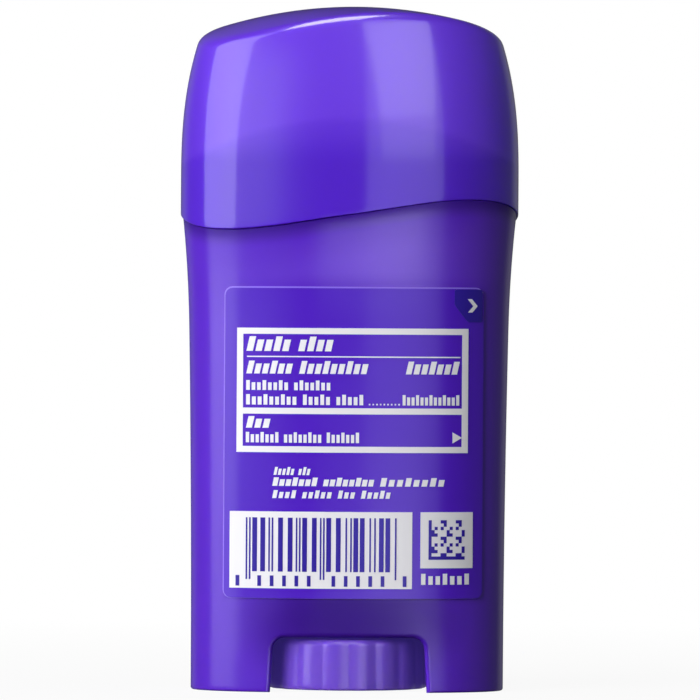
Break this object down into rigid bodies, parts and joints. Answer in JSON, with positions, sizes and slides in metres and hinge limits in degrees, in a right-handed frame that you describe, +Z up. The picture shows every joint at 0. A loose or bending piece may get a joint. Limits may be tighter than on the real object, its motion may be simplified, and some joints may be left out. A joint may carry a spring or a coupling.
{
  "type": "twist-up deodorant stick",
  "caption": "Oval twist-up stick applicator with a domed push-fit overcap, a scalloped thumb wheel with lead screw in a base window, and a wraparound back label.",
  "frame": {"origin": "middle of the base rim, at the height of the surface the pack stands on", "axes": "+Z up along the pack, the labelled broad face toward -Y, +X to the right of someone facing the label"},
  "size_m": [0.056, 0.0312, 0.113],
  "materials": {
    "barrel_violet": "milky translucent, satin",
    "cap_violet": "clear tint, polished",
    "knob_violet": "satin",
    "natural_polypropylene": "natural, translucent white",
    "white_stick": "waxy",
    "label_film": "gloss film",
    "ink_white": "printed ink",
    "ink_navy": "printed ink"
  },
  "bodies": {
    "barrel": {"barrel": "barrel_violet", "label_base": "label_film", "label_leaf": "label_film", "label_print_white": "ink_white", "label_print_corner": "ink_navy"},
    "knob": {"knob_screw": "knob_violet"},
    "carrier": {"elevator": "natural_polypropylene", "product_stick": "white_stick"},
    "seal": {"inner_seal": "natural_polypropylene"},
    "cap": {"cap": "cap_violet"}
  },
  "joints": [
    {"name": "knob_turn", "type": "hinge", "parent": "barrel", "child": "knob", "pos_m": [0, 0, 0], "axis": [0, 0, -1], "range_deg": [0, 4320]},
    {"name": "elevator_rise", "type": "slide", "parent": "barrel", "child": "carrier", "axis": [0, 0, 1], "range_m": [0, 0.066]},
    {"name": "seal_lift", "type": "slide", "parent": "carrier", "child": "seal", "axis": [0, 0, 1], "range_m": [0, 0.015]},
    {"name": "cap_lift", "type": "slide", "parent": "seal", "child": "cap", "axis": [0, 0, 1], "range_m": [0, 0.03]}
  ],
  "couplings": [
    {"joint": "knob_turn", "follows": "elevator_rise", "rad_per_m": 1142.4}
  ]
}
